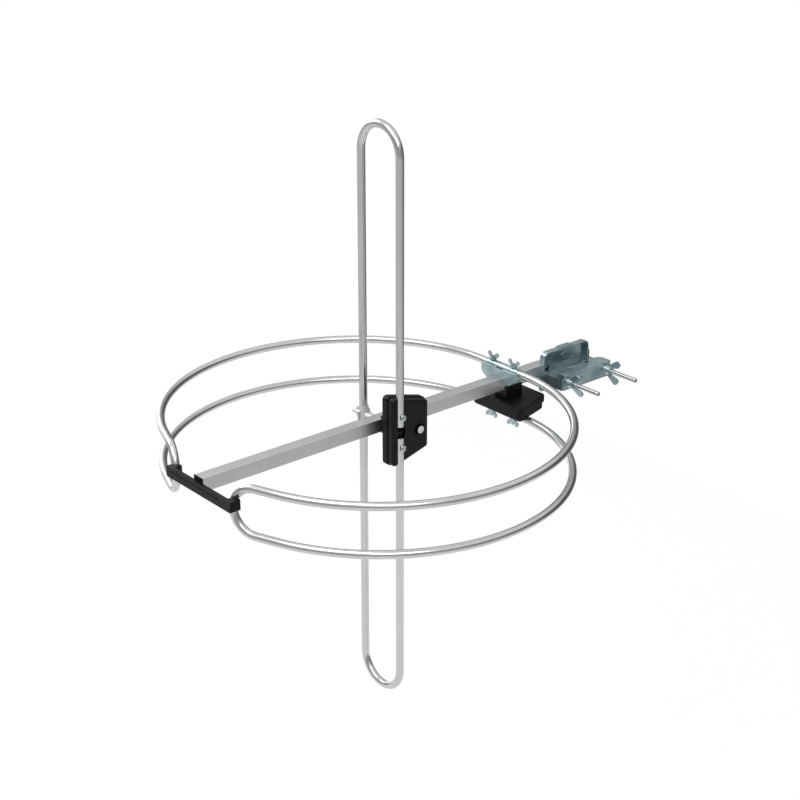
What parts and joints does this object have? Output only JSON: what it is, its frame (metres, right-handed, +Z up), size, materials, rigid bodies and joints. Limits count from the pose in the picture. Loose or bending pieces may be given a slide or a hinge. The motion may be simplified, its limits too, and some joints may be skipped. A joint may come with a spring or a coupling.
{
  "type": "radio antenna",
  "caption": "Omnidirectional FM radio antenna: flat ring dipole and upright loop dipole of aluminium tube on a square boom with a mast clamp.",
  "frame": {"origin": "axis of the clamped mast, level with the middle of the boom", "axes": "+Z up along the mast; +X along the boom from the ring towards its mast end; -Y is the side the clamp jaw and the loop's feed box face"},
  "size_m": [0.6285, 0.526, 0.7504],
  "materials": {
    "aluminium": "satin",
    "black_plastic": "fine satin grain",
    "seal_rubber": "matt",
    "zinc_plate": "blue passivated zinc, semi bright",
    "steel": "plated",
    "nickel": "plated",
    "brass": "bare",
    "white_plastic": "matt",
    "circuit_board": "satin",
    "ferrite": "matt"
  },
  "bodies": {
    "antenna": {"boom": "aluminium", "boom_front_plug": "black_plastic", "boom_rear_cap": "black_plastic", "spreader_bar": "black_plastic", "ring_dipole": "aluminium", "loop_dipole": "aluminium", "ring_clamp_bracket": "zinc_plate", "ring_clamp_cradles": "zinc_plate", "ring_clamp_strap": "zinc_plate", "ring_clamp_bolts": "steel", "ring_box_saddle": "black_plastic", "ring_box_base": "black_plastic", "ring_box_seal": "seal_rubber", "ring_box_cover": "black_plastic", "ring_box_board": "circuit_board", "ring_box_transformer": "ferrite", "ring_box_terminals": "brass", "ring_box_socket": "nickel", "ring_box_socket_insert": "white_plastic", "ring_box_bolts": "steel", "ring_box_washers": "steel", "ring_box_boom_bolt": "steel", "ring_box_boom_nut": "steel", "loop_box_saddle": "black_plastic", "loop_box_base": "black_plastic", "loop_box_seal": "seal_rubber", "loop_box_cover": "black_plastic", "loop_box_board": "circuit_board", "loop_box_transformer": "ferrite", "loop_box_terminals": "brass", "loop_box_socket": "nickel", "loop_box_socket_insert": "white_plastic", "loop_box_screws": "steel", "loop_box_nuts": "steel", "leg_clamp_spacer": "aluminium", "leg_clamp_saddle": "zinc_plate", "leg_clamp_bolt": "steel", "leg_clamp_washer": "steel", "mast_bracket": "zinc_plate", "mast_bolts": "steel"},
    "jaw": {"mast_jaw": "zinc_plate", "mast_washers": "steel"},
    "mast_nut_left": {"mast_wing_nut_left": "zinc_plate"},
    "mast_nut_right": {"mast_wing_nut_right": "zinc_plate"},
    "ring_nut_left": {"ring_clamp_wing_nut_left": "zinc_plate"},
    "ring_nut_right": {"ring_clamp_wing_nut_right": "zinc_plate"},
    "box_nut_left": {"ring_box_wing_nut_left": "zinc_plate"},
    "box_nut_right": {"ring_box_wing_nut_right": "zinc_plate"},
    "leg_nut": {"leg_clamp_wing_nut": "zinc_plate"}
  },
  "joints": [
    {"name": "jaw_slide", "type": "slide", "parent": "antenna", "child": "jaw", "axis": [0, -1, 0], "range_m": [0, 0.044]},
    {"name": "mast_nut_left_spin", "type": "hinge", "parent": "jaw", "child": "mast_nut_left", "pos_m": [-0.035, -0.01315, -0.0036], "axis": [0, -1, 0], "continuous": true},
    {"name": "mast_nut_right_spin", "type": "hinge", "parent": "jaw", "child": "mast_nut_right", "pos_m": [0.035, -0.01315, -0.0036], "axis": [0, -1, 0], "continuous": true},
    {"name": "ring_nut_left_spin", "type": "hinge", "parent": "antenna", "child": "ring_nut_left", "pos_m": [-0.10306, 0.059, 0.02435], "axis": [0, 0, 1], "continuous": true},
    {"name": "ring_nut_right_spin", "type": "hinge", "parent": "antenna", "child": "ring_nut_right", "pos_m": [-0.10306, 0.021, 0.02435], "axis": [0, 0, 1], "continuous": true},
    {"name": "box_nut_left_spin", "type": "hinge", "parent": "antenna", "child": "box_nut_left", "pos_m": [-0.10306, 0.06, -0.04575], "axis": [0, 0, -1], "continuous": true},
    {"name": "box_nut_right_spin", "type": "hinge", "parent": "antenna", "child": "box_nut_right", "pos_m": [-0.10306, 0.02, -0.04575], "axis": [0, 0, -1], "continuous": true},
    {"name": "leg_nut_spin", "type": "hinge", "parent": "antenna", "child": "leg_nut", "pos_m": [-0.3074, 0.0808, -0.0015], "axis": [0, 1, 0], "continuous": true}
  ]
}
